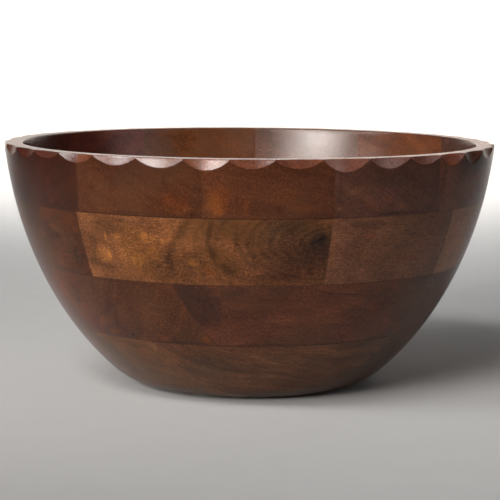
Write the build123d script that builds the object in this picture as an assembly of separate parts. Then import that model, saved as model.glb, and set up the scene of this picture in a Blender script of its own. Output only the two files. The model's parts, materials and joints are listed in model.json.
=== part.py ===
"""Turned serving bowl, glued up from four courses of hardwood blocks, with a gouge-scooped rim.

Millimetres, +Z up. The origin is the centre of the foot's underside, on the surface the bowl
stands on; -Y is the front. Plan angles, called bearings, are measured from the front towards +X.
"""

from build123d import *
import math
import os

# Turned form: an elliptical wall outside and inside, faced off flat at the rim and at the foot
RIM_RADIUS = 152.2
HEIGHT = 150.3
RIM_WALL = 11.2
ELLIPSE_CENTRE_HEIGHT = 180.0
ELLIPSE_HALF_DEPTH = 203.9
WALL_GAIN_AT_FLOOR = 13.0
FLOOR_THICKNESS = 13.0
FOOT_BLEND_RADIUS = 40.0
FLOOR_BLEND_RADIUS = 42.0
INNER_ARRIS = 0.9

# Courses of blocks, from the table up: the height of each glue line
BASE_TOP = 40.0
LOWER_TOP = 78.0
UPPER_TOP = 117.0

# Parallel boards: the direction their seams run in, from +X, and each seam's offset to its left
BASE_GRAIN = 22.0
BASE_SEAMS = (-68.5, -3.0, 61.0)
LOWER_GRAIN = 30.0
LOWER_SEAMS = (-87.5, -22.0, 43.0, 92.0)
RIM_GRAIN = 84.0
RIM_SEAMS = (-119.0, -62.0, 10.5, 85.0)

# Mitred segments of the upper course: the bearing of each radial joint
UPPER_JOINTS = (-42.4, 18.6, 54.5, 120.0, 186.0, 252.0)

# Scooped rim: hollow gouge cuts taken side by side across the outer corner
SCOOP_COUNT = 36
SCOOP_PITCH = 360.0 / SCOOP_COUNT
FIRST_SCOOP_BEARING = -0.6
SCOOP_DEPTH = 5.3
CREST_DEPTH = 1.0
SCOOP_LEAN = 16.0
SCOOP_CUTTER_LENGTH = 60.0

# Unevenness of hand work: swings in bearing (degrees) and depth (mm), each with its turns per circle
BEARING_DRIFT = 1.5
BEARING_WANDER = 0.45
WANDER_TURNS = 7
DEPTH_DRIFT = 1.1
DEPTH_WANDER = 0.65
DEPTH_FLUTTER = 0.8
DEPTH_WANDER_TURNS = 9
DEPTH_FLUTTER_TURNS = 12

STOCK = 2.2 * RIM_RADIUS


def ellipse_half_width(rim_radius, half_depth):
    """Half width of the ellipse of the given half depth that reaches rim_radius at the rim."""
    rise = (ELLIPSE_CENTRE_HEIGHT - HEIGHT) / half_depth
    return rim_radius / math.sqrt(1 - rise**2)


def wall_radius(height):
    """Radius of the outer wall at a height above the foot."""
    rise = (ELLIPSE_CENTRE_HEIGHT - height) / ELLIPSE_HALF_DEPTH
    return ellipse_half_width(RIM_RADIUS, ELLIPSE_HALF_DEPTH) * math.sqrt(1 - rise**2)


def wall_section(rim_radius, half_depth, low, blend):
    """Half section under one elliptical wall, from the level low to the rim, its corner blended."""
    ellipse = Pos(0, ELLIPSE_CENTRE_HEIGHT) * Ellipse(ellipse_half_width(rim_radius, half_depth), half_depth)
    band = Pos(STOCK / 2, (low + HEIGHT) / 2) * Rectangle(STOCK, HEIGHT - low)
    section = ellipse & band
    corner = section.vertices().group_by(Axis.Y)[0].sort_by(Axis.X)[-1]
    return fillet(corner, blend)


def turned_bowl():
    """The bowl as it leaves the lathe, before its rim is scooped."""
    outside = wall_section(RIM_RADIUS, ELLIPSE_HALF_DEPTH, 0, FOOT_BLEND_RADIUS)
    inner_half_depth = ELLIPSE_HALF_DEPTH - WALL_GAIN_AT_FLOOR
    mouth_radius = RIM_RADIUS - RIM_WALL
    inside = wall_section(mouth_radius, inner_half_depth, FLOOR_THICKNESS, FLOOR_BLEND_RADIUS)
    easing = make_face(Polyline(
        (mouth_radius + INNER_ARRIS, HEIGHT),
        (mouth_radius - INNER_ARRIS, HEIGHT - 2 * INNER_ARRIS),
        (mouth_radius - INNER_ARRIS, HEIGHT),
        close=True,
    ))
    return revolve(Plane.XZ * (outside - inside - easing), Axis.Z)

def swing(turns, bearing, start=0.0):
    """A wave from -1 to 1 that repeats a number of turns round the rim, at its peak at start."""
    return math.cos(math.radians(turns * bearing - start))

def scoop_bearing(index):
    """Bearing of a scoop's middle: even pitch, with the drift and wander of hand work."""
    even = SCOOP_PITCH * index
    unevenness = BEARING_DRIFT * swing(1, even, 28) - BEARING_WANDER * swing(WANDER_TURNS, even, 59)
    return FIRST_SCOOP_BEARING + even + unevenness

def scoop_depth(index):
    """How far a scoop runs down the wall from the rim, with the unevenness of hand work."""
    even = SCOOP_PITCH * index
    drift = DEPTH_DRIFT * swing(1, even, 51)
    wander = DEPTH_WANDER * swing(DEPTH_WANDER_TURNS, even)
    flutter = DEPTH_FLUTTER * swing(DEPTH_FLUTTER_TURNS, even, 90)
    return SCOOP_DEPTH + drift - wander - flutter

def scoop_cutter(index):
    """The round-bottomed cut of one scoop: a leaning cylinder that meets its neighbours at crests."""
    depth = scoop_depth(index)
    reach = (scoop_bearing(index + 1) - scoop_bearing(index - 1)) / 4
    half_chord = math.radians(reach) * RIM_RADIUS
    lean = math.radians(SCOOP_LEAN)
    foot_radius = wall_radius(HEIGHT - depth)
    wall_flare = (RIM_RADIUS - foot_radius) / depth
    hollow = 2 * (depth - CREST_DEPTH) * (math.tan(lean) + wall_flare) / half_chord**2
    radius = 1 / (hollow - 1 / RIM_RADIUS)
    centre = Vector(foot_radius + radius * math.cos(lean), 0, HEIGHT - depth + radius * math.sin(lean))
    axis = Plane(origin=centre, x_dir=(0, 1, 0), z_dir=(-math.sin(lean), 0, math.cos(lean)))
    cutter = axis * Cylinder(radius, SCOOP_CUTTER_LENGTH)
    return Rot(0, 0, scoop_bearing(index) - 90) * cutter


def course(bowl, low, high):
    """The ring or disc of the bowl between two glue lines."""
    return bowl & Pos(0, 0, (low + high) / 2) * Box(STOCK, STOCK, high - low)


def boards(ring, grain, seams):
    """Cut a course into parallel boards, each a list of its pieces in the order of the grain."""
    grain_direction = Vector(1, 0, 0).rotate(Axis.Z, grain)
    along = Axis((0, 0, 0), grain_direction)
    edges = (-STOCK / 2, *seams, STOCK / 2)
    strips = []
    for near, far in zip(edges, edges[1:]):
        strip = Pos(0, (near + far) / 2, HEIGHT / 2) * Box(STOCK, far - near, STOCK)
        pieces = (ring & Rot(0, 0, grain) * strip).solids()
        strips.append(list(pieces.sort_by(along)))
    return strips

def segments(ring, joints):
    """Cut a course into mitred segments, listed from the first joint round."""
    pieces = []
    for start, end in zip(joints, (*joints[1:], joints[0] + 360)):
        half_width = STOCK * math.tan(math.radians((end - start) / 2))
        outline = Polyline((0, 0), (STOCK, -half_width), (STOCK, half_width), close=True)
        wedge = extrude(make_face(outline), HEIGHT)
        pieces += (ring & Rot(0, 0, (start + end) / 2 - 90) * wedge).solids()
    return pieces

def save(name, shape):
    """Write one block of the bowl as parts/name.step."""
    shape.label = name
    export_step(shape, f"parts/{name}.step")


def main():
    os.makedirs("parts", exist_ok=True)
    bowl = turned_bowl()

    base = boards(course(bowl, 0, BASE_TOP), BASE_GRAIN, BASE_SEAMS)
    for name, pieces in zip(("front", "front_middle", "back_middle", "back"), base):
        save(f"base_{name}_board", pieces[0])

    lower = boards(course(bowl, BASE_TOP, LOWER_TOP), LOWER_GRAIN, LOWER_SEAMS)
    for name, pieces in zip(("front", "second", "third", "fourth", "back"), lower):
        sides = ("left", "right") if len(pieces) == 2 else ("board",)
        for side, piece in zip(sides, pieces):
            save(f"lower_{name}_{side}", piece)

    upper = segments(course(bowl, LOWER_TOP, UPPER_TOP), UPPER_JOINTS)
    for number, piece in enumerate(upper, start=1):
        save(f"upper_segment_{number}", piece)

    scoops = [scoop_cutter(index) for index in range(SCOOP_COUNT)]
    rim_course = course(bowl, UPPER_TOP, HEIGHT) - scoops
    rim = boards(rim_course, RIM_GRAIN, RIM_SEAMS)
    for name, pieces in zip(("right", "mid_right", "centre", "mid_left", "left"), rim):
        sides = ("front", "back") if len(pieces) == 2 else ("board",)
        for side, piece in zip(sides, pieces):
            save(f"rim_{name}_{side}", piece)


if __name__ == "__main__":
    main()
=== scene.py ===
"""Blender scene of a laminated serving bowl: its glued blocks, their lacquered wood and a plain studio.

Metres, +Z up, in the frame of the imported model. Bearings are plan angles in degrees, measured from
the front (-Y) towards +X.
"""

import json
import logging
import math
from collections.abc import Callable
from dataclasses import dataclass, field
from enum import Enum

import bpy
import numpy as np
from mathutils import Matrix, Vector


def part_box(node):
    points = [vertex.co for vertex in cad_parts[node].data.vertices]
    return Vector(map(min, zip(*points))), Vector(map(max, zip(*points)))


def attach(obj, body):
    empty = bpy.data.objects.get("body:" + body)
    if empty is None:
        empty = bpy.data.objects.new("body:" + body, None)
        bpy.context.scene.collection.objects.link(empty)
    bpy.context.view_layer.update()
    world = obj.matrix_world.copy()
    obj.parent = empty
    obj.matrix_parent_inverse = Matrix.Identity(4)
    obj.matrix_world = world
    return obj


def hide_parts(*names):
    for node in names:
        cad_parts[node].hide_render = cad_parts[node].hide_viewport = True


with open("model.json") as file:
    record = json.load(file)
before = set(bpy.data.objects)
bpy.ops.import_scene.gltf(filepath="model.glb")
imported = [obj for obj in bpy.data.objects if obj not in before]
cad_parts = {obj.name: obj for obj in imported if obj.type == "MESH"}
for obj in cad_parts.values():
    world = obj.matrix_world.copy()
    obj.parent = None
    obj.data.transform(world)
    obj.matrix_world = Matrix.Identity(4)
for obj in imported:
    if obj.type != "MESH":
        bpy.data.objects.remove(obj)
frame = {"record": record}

LOG = logging.getLogger("serving_bowl")
MM = 0.001
WELD = 1e-6

Colour = tuple[float, float, float]
Outline = list[tuple[float, float]]
Waves = tuple[tuple[float, int, float], ...]
Place = tuple[float, float, float]
Socket = bpy.types.NodeSocket
Value = Socket | float
Paint = Socket | tuple[float, float, float, float]

# How often a search is halved, and how often a cut's radius and a crest's foot are worked out afresh
HALVINGS = 50
REFINEMENTS = 8
CREST_REFINEMENTS = 4

# Faces that meet at less than this are shaded as one surface
SMOOTHED = math.radians(14)

# How much a face must look up, by where it lies, to count as flat brim, hollow or gouged
BRIM_TILT = 0.95
HOLLOW_TILT = 0.01
GOUGED_TILT = 0.2

# Growth: the bends of the grain as noise scale and reach in millimetres, the change of the rings
# along it, and how far one block's wood lies from another's
BENDS = ((0.016, 26), (0.07, 5))
RING_CHANGE = 0.012
SEED_STEP = 37.0

# How deep a mark and a knot's rings run through the wall, and how far the rings wobble
MARK_DEPTH = 14
KNOT_DEPTH = 6
RING_WOBBLE = (3, 0, 3)

# Open pores, and the glue lines: their colours, how much the pores show, how far the glue reaches
PORE_COLOUR: Colour = (0.008, 0.004, 0.003)
PORE_SHARE = 0.45
GLUE_COLOUR: Colour = (0.004, 0.002, 0.002)
GLUE_REACH = (0.0001, 0.0006)
GLUE_LEAST = 0.35

# Between which values of its noise each of these comes in
DRIFT_FROM = (0.45, 0.62)
PORES_FROM = (0.60, 0.70)
GLUE_FROM = (0.35, 0.6)


# ---- the turned and scooped form


@dataclass(frozen=True)
class Wall:
    """One elliptical wall of the bowl, blended into a flat at its foot.

    Args:
        rim_radius: Radius at the rim.
        half_depth: Half depth of the ellipse.
        flat: Height of the flat that the wall runs into.
        blend: Radius of the blend between flat and wall.
        height: Height of the rim.
        centre_height: Height of the ellipse's centre.
        flat_shares: Where the flat has points, as shares of its radius.
    """

    rim_radius: float
    half_depth: float
    flat: float
    blend: float
    height: float = 0.1503
    centre_height: float = 0.180
    flat_shares: tuple[float, ...] = (0, 0.3, 0.6, 0.85)

    @property
    def half_width(self) -> float:
        """Half width of the ellipse."""
        rise = (self.centre_height - self.height) / self.half_depth
        return self.rim_radius / math.sqrt(1 - rise**2)

    def radius(self, height: float) -> float:
        """Radius of the wall at a height above the blend."""
        rise = (self.centre_height - height) / self.half_depth
        return self.half_width * math.sqrt(1 - rise**2)

    def tangent(self) -> tuple[float, float]:
        """Where the blend meets the wall.

        Returns:
            The height of that point, and the radius at which the flat ends.
        """
        top = self.flat + self.blend
        height = halve(self.flat, top, lambda level: self.blend_centre(level)[1] <= top)
        return height, self.blend_centre(height)[0]

    def blend_centre(self, height: float) -> tuple[float, float]:
        """Centre of a blend that touches the wall at a height.

        Args:
            height: Height at which the blend touches the wall.

        Returns:
            The centre's radius and height.
        """
        radius = self.radius(height)
        out = radius / self.half_width**2
        down = (self.centre_height - height) / self.half_depth**2
        reach = self.blend / math.hypot(out, down)
        return radius - out * reach, height + down * reach

    def rise(self, low: float, high: float, spacing: float) -> Outline:
        """Points up the wall from one height to another, both included."""
        count = max(2, round((high - low) / spacing))
        return [(self.radius(z), z) for z in np.linspace(low, high, count + 1)]

    def foot(self, steps: int) -> Outline:
        """Points from the axis along the flat and round the blend, up to the wall.

        Args:
            steps: Steps round the blend.

        Returns:
            Radius and height of each point.
        """
        height, flat_radius = self.tangent()
        turn = math.acos((self.flat + self.blend - height) / self.blend)
        points = [(flat_radius * share, self.flat) for share in self.flat_shares]
        for step in range(steps + 1):
            angle = turn * step / steps
            out = flat_radius + self.blend * math.sin(angle)
            points.append((out, self.flat + self.blend * (1 - math.cos(angle))))
        return points


def soft_min(first: np.ndarray, second: np.ndarray, softness: float) -> np.ndarray:
    """The lesser of two radii, with the corner between them sanded round."""
    near = np.maximum(softness - np.abs(first - second), 0) / softness
    return np.minimum(first, second) - near**2 * softness / 4


def halve(low: float, high: float, holds: Callable[[float], bool]) -> float:
    """The place between two numbers up to which something holds, found by halving.

    Args:
        low: Where it holds.
        high: Where it doesn't.
        holds: Tells whether it holds at a number.

    Returns:
        The last number at which it holds.
    """
    for _ in range(HALVINGS):
        middle = (low + high) / 2
        low, high = (middle, high) if holds(middle) else (low, middle)
    return low


@dataclass(frozen=True)
class GougedRim:
    """Hollow gouge cuts taken side by side across the outer corner of the rim.

    They stray from an even spacing and depth by waves: a size, the turns round the rim and the start.
    """

    wall: Wall
    count: int = 36
    first_bearing: float = -0.6
    depth: float = 0.0053
    crest_depth: float = 0.001
    lean: float = 16.0
    bearing_waves: Waves = ((1.5, 1, 28), (-0.45, 7, 59))
    depth_waves: Waves = ((0.0011, 1, 51), (-0.00065, 9, 0), (-0.0008, 12, 90))
    sanding: float = 0.0002
    top_arris: float = 0.0004
    reach: float = 0.012

    def even_bearing(self, index: int) -> float:
        """Bearing of a cut if all were evenly spaced."""
        return 360 / self.count * index

    def uneven(self, waves: Waves, index: int) -> float:
        """How far a cut strays: its waves added up."""
        even = self.even_bearing(index)
        return sum(size * math.cos(math.radians(turns * even - start)) for size, turns, start in waves)

    def bearing(self, index: int) -> float:
        """Bearing of the middle of a cut."""
        return self.first_bearing + self.even_bearing(index) + self.uneven(self.bearing_waves, index)

    def cut_depth(self, index: int) -> float:
        """How far a cut runs down the wall from the rim."""
        return self.depth + self.uneven(self.depth_waves, index)

    def cut_radius(self, index: int, height: np.ndarray, bearing: np.ndarray) -> np.ndarray:
        """Distance from the bowl's axis to the hollow of a cut.

        Args:
            index: Which cut.
            height: Heights to measure at.
            bearing: Bearings to measure at.

        Returns:
            The radius left by the cut there.
        """
        wall, depth, lean = self.wall, self.cut_depth(index), math.radians(self.lean)
        spread = self.bearing(index + 1) - self.bearing(index - 1)
        half_chord = math.radians(spread / 4) * wall.rim_radius
        foot_radius = wall.radius(wall.height - depth)
        flare = (wall.rim_radius - foot_radius) / depth
        hollow = 2 * (depth - self.crest_depth) * (math.tan(lean) + flare) / half_chord**2
        sweep = 1 / (hollow - 1 / wall.rim_radius)
        centre = foot_radius + sweep * math.cos(lean)
        centre_height = wall.height - depth + sweep * math.sin(lean)
        away = np.radians(bearing - self.bearing(index))
        radius = np.full_like(away, wall.rim_radius)
        for _ in range(REFINEMENTS):
            hollowed = np.sqrt(np.maximum(sweep**2 - (radius * np.sin(away)) ** 2, 0))
            flat = centre * math.cos(lean) - (height - centre_height) * math.sin(lean) - hollowed
            radius = flat / (np.cos(away) * math.cos(lean))
        return radius

    def cut_at(self, index: int, height: float, bearing: float) -> float:
        """Distance from the axis to the hollow of a cut at one place."""
        return self.cut_radius(index, np.array([height]), np.array([bearing]))[0]

    def surface(self, index: int, height: np.ndarray, bearing: np.ndarray) -> np.ndarray:
        """Radius of the finished rim within a cut, its arrises sanded.

        Args:
            index: Which cut.
            height: Heights to measure at.
            bearing: Bearings to measure at.

        Returns:
            The radius at each place.
        """
        radius = self.cut_radius(index, height, bearing)
        for neighbour in (index - 1, index + 1):
            radius = soft_min(radius, self.cut_radius(neighbour, height, bearing), self.sanding)
        uncut = np.array([self.wall.radius(z) for z in height])
        return soft_min(radius, uncut, self.sanding)

    def edge_height(self, index: int, bearing: float) -> float:
        """Height at which a cut runs out into the wall at a bearing.

        Args:
            index: Which cut.
            bearing: Where to look.

        Returns:
            The height of the cut's lower edge.
        """
        wall = self.wall
        top = wall.height
        return halve(top - self.reach, top, lambda z: self.cut_at(index, z, bearing) > wall.radius(z))

    def crest_bearing(self, index: int, height: float) -> float:
        """Bearing of the crest between a cut and the next, at a height.

        Args:
            index: The cut before the crest.
            height: Where to look.

        Returns:
            The bearing.
        """
        return halve(
            self.bearing(index), self.bearing(index + 1),
            lambda turn: self.cut_at(index, height, turn) < self.cut_at(index + 1, height, turn),
        )

    def crest(self, index: int) -> tuple[float, float]:
        """Bearings of the lower and upper ends of the crest after a cut.

        Args:
            index: Which cut.

        Returns:
            The bearing of the lower end and that of the upper end.
        """
        top = self.crest_bearing(index, self.wall.height)
        foot = top
        for _ in range(CREST_REFINEMENTS):
            foot = self.crest_bearing(index, self.edge_height(index, foot))
        return foot, top


@dataclass(frozen=True)
class BowlForm:
    """The bowl's turned section and how finely it is drawn."""

    rim_wall: float = 0.0112
    wall_gain: float = 0.013
    inner_arris: float = 0.0011
    wall_row: float = 0.0026
    columns: int = 720
    corner_steps: int = 5
    outside: Wall = Wall(rim_radius=0.1522, half_depth=0.2039, flat=0.0, blend=0.040)

    @property
    def inside(self) -> Wall:
        """The hollow's wall."""
        rim_radius = self.outside.rim_radius - self.rim_wall
        return Wall(rim_radius, self.outside.half_depth - self.wall_gain, flat=0.013, blend=0.042)

    @property
    def height(self) -> float:
        """Height of the flat rim above the foot."""
        return self.outside.height

    def inner_corner(self) -> Outline:
        """Points from the flat rim round the sanded inner corner to the hollow's wall.

        Returns:
            Radius and height of each point.
        """
        radius, size = self.inside.rim_radius, self.inner_arris
        slope = math.atan((radius - self.inside.radius(self.height - size)) / size)
        turn = math.pi / 2 - slope
        sweep = size * math.tan((math.pi - turn) / 2)
        centre = Vector((radius + size, self.height - sweep))
        points = []
        for step in range(self.corner_steps + 1):
            angle = math.pi / 2 + turn * step / self.corner_steps
            points.append((centre.x + sweep * math.cos(angle), centre.y + sweep * math.sin(angle)))
        return points


def as_point(radius: float, height: float, bearing: float) -> Place:
    """The place at a radius, height and bearing."""
    turn = math.radians(bearing)
    return radius * math.sin(turn), -radius * math.cos(turn), height


# ---- mesh work


def select_only(piece: bpy.types.Object) -> None:
    """Leave one object selected and active."""
    bpy.ops.object.select_all(action="DESELECT")
    piece.select_set(True)
    bpy.context.view_layer.objects.active = piece


def pick_edges(piece: bpy.types.Object, wanted: Callable[[bpy.types.MeshEdge], bool]) -> None:
    """Open a mesh in edit mode with only some of its edges selected.

    Args:
        piece: The object whose mesh it is.
        wanted: Tells whether an edge is to be selected.
    """
    bpy.ops.object.mode_set(mode="EDIT")
    bpy.ops.mesh.select_all(action="DESELECT")
    bpy.ops.object.mode_set(mode="OBJECT")
    for edge in piece.data.edges:
        edge.select = wanted(edge)
    bpy.ops.object.mode_set(mode="EDIT")
    bpy.ops.mesh.select_mode(type="EDGE")


def turn_ring(name: str, outline: Outline, steps: int, through_axis: bool) -> bpy.types.Object:
    """Turn a section outline into a closed solid about the bowl's axis.

    Args:
        name: Name of the new object.
        outline: Radius and height of each corner of the section, in order.
        steps: Columns round the axis.
        through_axis: Whether the outline starts and ends on the axis.

    Returns:
        The turned solid, with its columns starting at the front.
    """
    bpy.ops.object.select_all(action="DESELECT")
    bpy.ops.mesh.primitive_circle_add(vertices=len(outline), radius=0.1, fill_type="NOTHING")
    ring = bpy.context.object
    ring.name = ring.data.name = name
    for vertex, (radius, height) in zip(ring.data.vertices, outline):
        vertex.co = as_point(radius, height, 0)
    if through_axis:
        ends = {0, len(outline) - 1}
        pick_edges(ring, lambda edge: set(edge.vertices) == ends)
        bpy.ops.mesh.delete(type="EDGE")
        bpy.ops.object.mode_set(mode="OBJECT")
    turning = ring.modifiers.new("turning", "SCREW")
    turning.axis = "Z"
    turning.angle = math.tau
    turning.steps = turning.render_steps = steps
    turning.use_merge_vertices = through_axis
    turning.merge_threshold = WELD
    bpy.ops.object.modifier_apply(modifier="turning")
    return ring


def point_outwards(piece: bpy.types.Object) -> None:
    """Weld doubled points and make every face look out of the solid.

    Args:
        piece: The object whose mesh it is.
    """
    select_only(piece)
    bpy.ops.object.mode_set(mode="EDIT")
    bpy.ops.mesh.select_all(action="SELECT")
    bpy.ops.mesh.remove_doubles(threshold=WELD)
    bpy.ops.mesh.normals_make_consistent(inside=False)
    bpy.ops.object.mode_set(mode="OBJECT")


@dataclass(frozen=True)
class SawCut:
    """A flat cut: what lies on the side that keep points to is kept."""

    offset: float
    keep: tuple[float, float]

    def make(self) -> None:
        """Cut the mesh that is open in edit mode and cap the wound."""
        bpy.ops.mesh.select_all(action="SELECT")
        place = Vector((*self.keep, 0)) * self.offset
        bpy.ops.mesh.bisect(
            plane_co=place, plane_no=(*self.keep, 0), use_fill=True, clear_inner=True, threshold=WELD
        )


def saw_block(ring: bpy.types.Object, name: str, cuts: list[SawCut]) -> bpy.types.Object:
    """Saw one block out of a copy of a turned course.

    Args:
        ring: The whole course.
        name: Name of the block.
        cuts: The flat cuts that bound it.

    Returns:
        The block.
    """
    select_only(ring)
    bpy.ops.object.duplicate()
    block = bpy.context.object
    block.name = block.data.name = name
    bpy.ops.object.mode_set(mode="EDIT")
    for cut in cuts:
        cut.make()
    bpy.ops.object.mode_set(mode="OBJECT")
    bpy.ops.object.shade_smooth_by_angle(angle=SMOOTHED)
    return block


def note_cuts(block: bpy.types.Object) -> None:
    """Mark the faces of a block that were gouged, those of the flat brim and those in the hollow.

    Args:
        block: The block, which gets an attribute for each kind of cut.
    """
    form = BowlForm()
    kinds: list[Cut | None] = []
    for face in block.data.polygons:
        normal, centre = face.normal, face.center
        radius = math.hypot(centre.x, centre.y)
        if normal.z > BRIM_TILT and centre.z > form.height - MM:
            kinds.append(Cut.BRIM)
        elif radius < form.outside.radius(centre.z) - form.rim_wall / 2 and normal.z > HOLLOW_TILT:
            kinds.append(Cut.HOLLOW)
        elif normal.x * centre.x + normal.y * centre.y > 0 and normal.z > GOUGED_TILT:
            kinds.append(Cut.GOUGED)
        else:
            kinds.append(None)
    for cut in Cut:
        shares = block.data.attributes.new(cut.value, "FLOAT", "FACE")
        shares.data.foreach_set("value", [float(kind is cut) for kind in kinds])


# ---- wood and lacquer


class Wiring:
    """Adds nodes to one material and joins them, so that a recipe reads from top to bottom."""

    def __init__(self, name: str) -> None:
        """Start an empty material.

        Args:
            name: Its name.
        """
        self.material = bpy.data.materials.new(name)
        self.material.use_nodes = True
        self.tree = self.material.node_tree
        self.tree.nodes.clear()

    def node(self, kind: str, inputs: dict | None = None, output: int | str = 0, **settings) -> Socket:
        """Add a node.

        Args:
            kind: Blender's name for the node.
            inputs: Sockets or plain values by input name or number.
            output: Which output to hand back.
            settings: The node's own settings.

        Returns:
            The chosen output socket.
        """
        made = self.tree.nodes.new(kind)
        for key, value in settings.items():
            setattr(made, key, value)
        for key, value in (inputs or {}).items():
            if isinstance(value, bpy.types.NodeSocket):
                self.tree.links.new(value, made.inputs[key])
            else:
                made.inputs[key].default_value = value
        return made.outputs[output]

    def finish(self, surface: Socket) -> bpy.types.Material:
        """The finished material, with a surface sent to its output.

        Args:
            surface: The shader that the material ends in.

        Returns:
            The material.
        """
        end = self.tree.nodes.new("ShaderNodeOutputMaterial")
        self.tree.links.new(surface, end.inputs["Surface"])
        return self.material

    def placed(self, vector: Socket, location: Place, rotation: Place, scale: Place) -> Socket:
        """Coordinates in a frame of their own, given where it lies, how it is turned and its unit."""
        inputs = {"Vector": vector, "Location": location, "Rotation": rotation, "Scale": scale}
        return self.node("ShaderNodeMapping", inputs, vector_type="TEXTURE")

    def math(self, operation: str, first: Value, second: Value = 0.0) -> Socket:
        """One sum on two numbers."""
        return self.node("ShaderNodeMath", {0: first, 1: second}, operation=operation)

    def stretched(self, vector: Socket, factors: Place) -> Socket:
        """A vector with each part multiplied."""
        return self.node("ShaderNodeVectorMath", {0: vector, 1: factors}, operation="MULTIPLY")

    def added(self, first: Socket, second: Socket | Place) -> Socket:
        """The sum of two vectors."""
        return self.node("ShaderNodeVectorMath", {0: first, 1: second}, operation="ADD")

    def length(self, vector: Socket) -> Socket:
        """How long a vector is."""
        return self.node("ShaderNodeVectorMath", {0: vector}, "Value", operation="LENGTH")

    def noise(
        self, vector: Socket, scale: float, detail: float, roughness: float = 0.5, output: str = "Fac"
    ) -> Socket:
        """Smooth noise about 0.5."""
        inputs = {"Vector": vector, "Scale": scale, "Detail": detail, "Roughness": roughness}
        return self.node("ShaderNodeTexNoise", inputs, output)

    def remap(
        self, value: Socket, low: float, high: float, to_low: float = 0.0, to_high: float = 1.0
    ) -> Socket:
        """A number eased from one range to another."""
        inputs = {"Value": value, "From Min": low, "From Max": high, "To Min": to_low, "To Max": to_high}
        return self.node("ShaderNodeMapRange", inputs, interpolation_type="SMOOTHSTEP")

    def mix(self, factor: Value, first: Paint, second: Paint, blend: str = "MIX") -> Socket:
        """Two colours mixed."""
        inputs = {0: factor, 6: first, 7: second}
        return self.node("ShaderNodeMix", inputs, 2, data_type="RGBA", blend_type=blend)

    def ramp(self, value: Socket, stops: list[tuple[float, Colour]]) -> Socket:
        """A colour picked along a row of stops.

        Args:
            value: Where to pick, from 0 to 1.
            stops: Places and colours in order.

        Returns:
            The colour.
        """
        socket = self.node("ShaderNodeValToRGB", {"Fac": value})
        ramp = socket.node.color_ramp
        while len(ramp.elements) < len(stops):
            ramp.elements.new(0.5)
        for element, (place, colour) in zip(ramp.elements, stops):
            element.position = place
            element.color = (*colour, 1)
        return socket


class Cut(Enum):
    """Where a face of the wood lies, as the name of the attribute that marks it."""

    GOUGED = "gouged"
    BRIM = "brim"
    HOLLOW = "hollow"


class Tint(Enum):
    """What a mark does to the colour of the wood under it, as a factor on red, green and blue."""

    DEEP = (0.30, 0.30, 0.34)
    DARK = (0.55, 0.54, 0.58)
    COOL = (0.66, 0.82, 0.98)
    RED = (1.15, 0.86, 0.80)
    ORANGE = (1.50, 1.28, 0.85)
    GOLDEN = (1.90, 1.90, 1.30)
    PALE = (1.30, 1.38, 1.45)


class Figure(Enum):
    """A noise in the wood: its pace along and across the grain, its scale, detail and roughness."""

    FIBRE = (0.09, 1.5, 1.0, 3, 0.65)
    MOTTLE = (0.6, 1.0, 0.055, 3, 0.55)
    SPECKLE = (1.0, 1.0, 0.9, 2, 0.6)
    PORES = (0.16, 2.6, 1.0, 1, 0.5)
    DRIFT = (1.0, 1.0, 0.03, 2, 0.5)
    EDGE = (1.0, 1.0, 0.3, 3, 0.65)


@dataclass(frozen=True)
class Mark:
    """A soft-edged patch in the wood, such as a knot, a streak, a bright fleck or a band of painted
    shade.

    Args:
        bearing: Bearing of its middle.
        height: Height of its middle, in millimetres.
        width: Half its width along the wall, in millimetres.
        rise: Half its height, in millimetres.
        strength: How fully it takes effect, from 0 to 1.
        tilt: How far its right end is turned up, in degrees.
        ragged: How far the wood's mottling breaks up its edge.
        softness: Share of its size that fades.
    """

    bearing: float
    height: float
    width: float
    rise: float
    strength: float = 0.7
    tilt: float = 0.0
    ragged: float = 0.5
    softness: float = 0.8


@dataclass(frozen=True)
class Rings:
    """Growth rings round a knot: where it lies, and how dark the rings are at each distance.

    Args:
        bearing: Bearing of the knot.
        height: Height of the knot, in millimetres.
        stretch: How much longer than high the rings are.
        reach: Distance at which the chart ends, in millimetres.
        chart: Distance as a share of reach, and how dark the wood is there.
        tint: What a fully dark ring does to the wood's colour.
    """

    bearing: float
    height: float
    stretch: float
    reach: float
    chart: tuple[tuple[float, float], ...]
    tint: Tint


@dataclass(frozen=True)
class Board:
    """The look of one block's wood.

    Args:
        middle: Its colour between the darkest figure and the lightest.
        contrast: How much darker and lighter than that its figure goes.
        grain: Plan direction of its grain, in degrees from +X, where that isn't its course's.
        dip: How far the grain runs down towards its right end, in degrees.
        pith: Where the tree's heart lay across the grain, sideways and up, in millimetres.
        ring_gap: Distance between growth rings, in millimetres.
        rings: Weight of the growth rings in its figure.
        fibre: Weight of the fine fibres.
        mottle: Weight of the broad patches.
        speckle: Weight of the fine dots.
        cast: Colour that drifts over it in broad patches.
        cast_share: How much of that colour shows.
        glue: How dark the glue lines at its bottom and top are.
        inner: Factor on its colour on the hollow's side.
        marks: Its knots, streaks, patches and any bands of painted shade: by tint, the numbers of each
            Mark in order.
        knot: Rings round a knot, where it has one.
    """

    middle: Colour
    contrast: float = 1.7
    grain: float | None = None
    dip: float = 0.0
    pith: tuple[float, float] = (30.0, -160.0)
    ring_gap: float = 5.0
    rings: float = 0.6
    fibre: float = 0.7
    mottle: float = 0.7
    speckle: float = 0.9
    cast: Colour = (0.12, 0.05, 0.02)
    cast_share: float = 0.3
    glue: tuple[float, float] = (0.3, 0.3)
    inner: Colour = (1.0, 1.0, 1.0)
    marks: dict[Tint, list[tuple[float, ...]]] = field(default_factory=dict)
    knot: Rings | None = None

    def stops(self) -> list[tuple[float, Colour]]:
        """Its darkest, middle and lightest colours, each with its place in the figure."""
        dark = tuple(part / self.contrast for part in self.middle)
        light = tuple(part * self.contrast for part in self.middle)
        return [(0.22, dark), (0.5, self.middle), (0.8, light)]


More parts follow.
